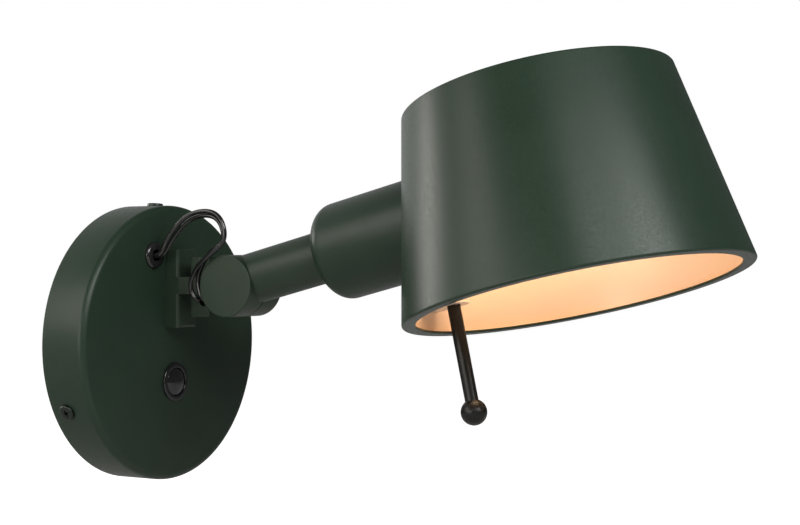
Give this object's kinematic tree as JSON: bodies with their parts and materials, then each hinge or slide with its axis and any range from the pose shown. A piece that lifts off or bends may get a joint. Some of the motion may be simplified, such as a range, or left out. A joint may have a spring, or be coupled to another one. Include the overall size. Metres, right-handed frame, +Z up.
{
  "type": "bedside wall reading lamp",
  "caption": "Round wall canopy with a push switch, a swinging and tilting hinge, a short arm and a tapered metal shade that turns, with a thin ball-ended handle.",
  "frame": {"origin": "centre of the wall plate's back face and of its pair of wall-screw slots, on the wall", "axes": "+Z up, -Y out of the wall into the room, +X along the wall to the right seen from the room"},
  "size_m": [0.1349, 0.2814, 0.173],
  "materials": {
    "painted_shell": "very dark green satin powder coat with a fine speckle",
    "painted_hinge": "very dark green satin powder coat on machined parts",
    "shade_paint": "dark green satin powder coat outside, warm white enamel inside",
    "black_metal": "satin black steel rod and ball",
    "plated_steel": "zinc plated steel",
    "brass": "bright brass",
    "screw_steel": "dull plated screws, toned to the paint",
    "black_plastic": "glossy black plastic",
    "holder_plastic": "off-white heat resistant thermoplastic",
    "rubber": "soft black rubber",
    "lead_jacket": "glossy black insulation",
    "fibre": "brown friction fibre",
    "opal_glass": "opal lamp glass"
  },
  "bodies": {
    "wall_base": {"wall_plate": "plated_steel", "canopy": "painted_shell", "side_screws": "screw_steel", "hinge_block": "painted_hinge", "block_screws": "plated_steel", "earth_screw": "brass", "earth_washer": "brass", "terminal_block": "holder_plastic", "terminal_screws": "plated_steel", "switch_body": "black_plastic", "switch_nut": "plated_steel", "switch_tabs": "brass", "cord_grommet": "rubber", "canopy_leads": "lead_jacket", "loop_lead_left": "lead_jacket", "loop_lead_right": "lead_jacket"},
    "button": {"push_button": "black_plastic"},
    "knuckle_body": {"knuckle": "painted_hinge", "pivot_pin": "plated_steel"},
    "arm": {"arm_barrel": "painted_hinge", "arm_tube": "painted_hinge", "tilt_bolt": "screw_steel", "tilt_spring_washer": "plated_steel", "friction_disc": "fibre", "end_bush": "brass", "nipple": "plated_steel", "neck_washer": "fibre", "neck_spring_ring": "plated_steel", "lock_nut": "plated_steel", "lampholder": "holder_plastic", "holder_sleeve": "brass", "holder_contact": "brass", "bulb_cap": "plated_steel", "bulb_glass": "opal_glass"},
    "head": {"cup": "painted_shell", "shade": "shade_paint", "handle_boss": "plated_steel", "handle_rod": "black_metal", "handle_ball": "black_metal"}
  },
  "joints": [
    {"name": "swing", "type": "hinge", "parent": "wall_base", "child": "knuckle_body", "pos_m": [0, -0.0385, 0.025], "axis": [0, 0, 1], "range_deg": [-60, 60], "deforming": ["loop_lead_left", "loop_lead_right"]},
    {"name": "tilt", "type": "hinge", "parent": "knuckle_body", "child": "arm", "pos_m": [0, -0.0578, 0.025], "axis": [-1, 0, 0], "range_deg": [-74, 61]},
    {"name": "head_turn", "type": "hinge", "parent": "arm", "child": "head", "pos_m": [0, -0.0578, 0.0265], "axis": [0, -0.9693, 0.2458], "range_deg": [-90, 90]},
    {"name": "button_push", "type": "slide", "parent": "wall_base", "child": "button", "axis": [0, 1, 0], "range_m": [0, 0.002], "stiffness_N_per_m": 900}
  ]
}
